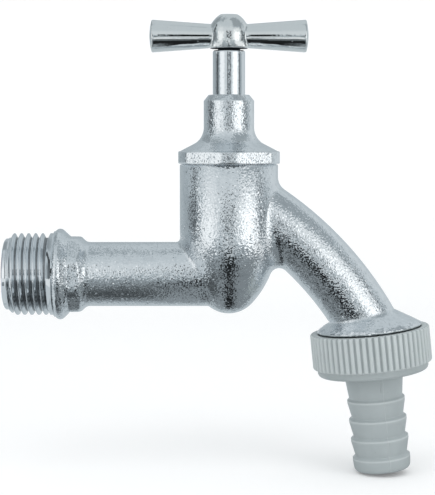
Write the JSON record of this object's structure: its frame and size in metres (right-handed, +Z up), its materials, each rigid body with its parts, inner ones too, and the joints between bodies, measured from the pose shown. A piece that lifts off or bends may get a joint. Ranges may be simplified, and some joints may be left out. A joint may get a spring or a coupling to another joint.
{
  "type": "bib tap",
  "caption": "Wall bib tap with a tee handle, a rising spindle valve, a curved spout, a union nut and a barbed hose tail.",
  "frame": {"origin": "centre of the inlet's open end", "axes": "+X along the inlet towards the spout, +Z up along the spindle, -X out of the inlet into the wall"},
  "size_m": [0.1093, 0.0306, 0.1169],
  "materials": {
    "tap_body": "satin",
    "bonnet": "satin",
    "bonnet_gasket": "matte",
    "spindle": "polished",
    "spindle_oring_lower": "satin",
    "spindle_oring_upper": "satin",
    "thrust_washer": "satin",
    "jumper": "satin",
    "jumper_ring": "satin",
    "seat_washer": "matte",
    "washer_disc": "satin",
    "washer_nut": "satin",
    "tee_handle": "polished",
    "handle_screw": "satin",
    "union_nut": "satin",
    "union_washer": "matte",
    "hose_tail": "satin"
  },
  "bodies": {
    "casting": {"tap_body": "tap_body", "bonnet": "bonnet", "bonnet_gasket": "bonnet_gasket"},
    "valve": {"jumper": "jumper", "seat_washer": "seat_washer", "washer_disc": "washer_disc", "washer_nut": "washer_nut"},
    "spindle_set": {"spindle": "spindle", "tee_handle": "tee_handle", "handle_screw": "handle_screw", "spindle_oring_lower": "spindle_oring_lower", "spindle_oring_upper": "spindle_oring_upper", "thrust_washer": "thrust_washer", "jumper_ring": "jumper_ring"},
    "outlet_seal": {"union_washer": "union_washer"},
    "nut": {"union_nut": "union_nut"},
    "tail": {"hose_tail": "hose_tail"}
  },
  "joints": [
    {"name": "valve_lift", "type": "slide", "parent": "casting", "child": "valve", "axis": [0, 0, 1], "range_m": [0, 0.005]},
    {"name": "handle_turn", "type": "hinge", "parent": "valve", "child": "spindle_set", "pos_m": [0.0571, 0, 0.0282], "axis": [0, 0, 1], "range_deg": [0, 900]},
    {"name": "union_travel", "type": "slide", "parent": "casting", "child": "outlet_seal", "axis": [0.1028, 0, -0.9947], "range_m": [0, 0.00565]},
    {"name": "nut_turn", "type": "hinge", "parent": "outlet_seal", "child": "nut", "pos_m": [0.09316, 0, -0.01391], "axis": [0.1028, 0, -0.9947], "range_deg": [0, 1121.3]},
    {"name": "tail_swivel", "type": "hinge", "parent": "outlet_seal", "child": "tail", "pos_m": [0.09316, 0, -0.01391], "axis": [0.1028, 0, -0.9947], "continuous": true}
  ],
  "couplings": [
    {"joint": "handle_turn", "follows": "valve_lift", "rad_per_m": 3141.6},
    {"joint": "nut_turn", "follows": "union_travel", "rad_per_m": 3463.7}
  ]
}
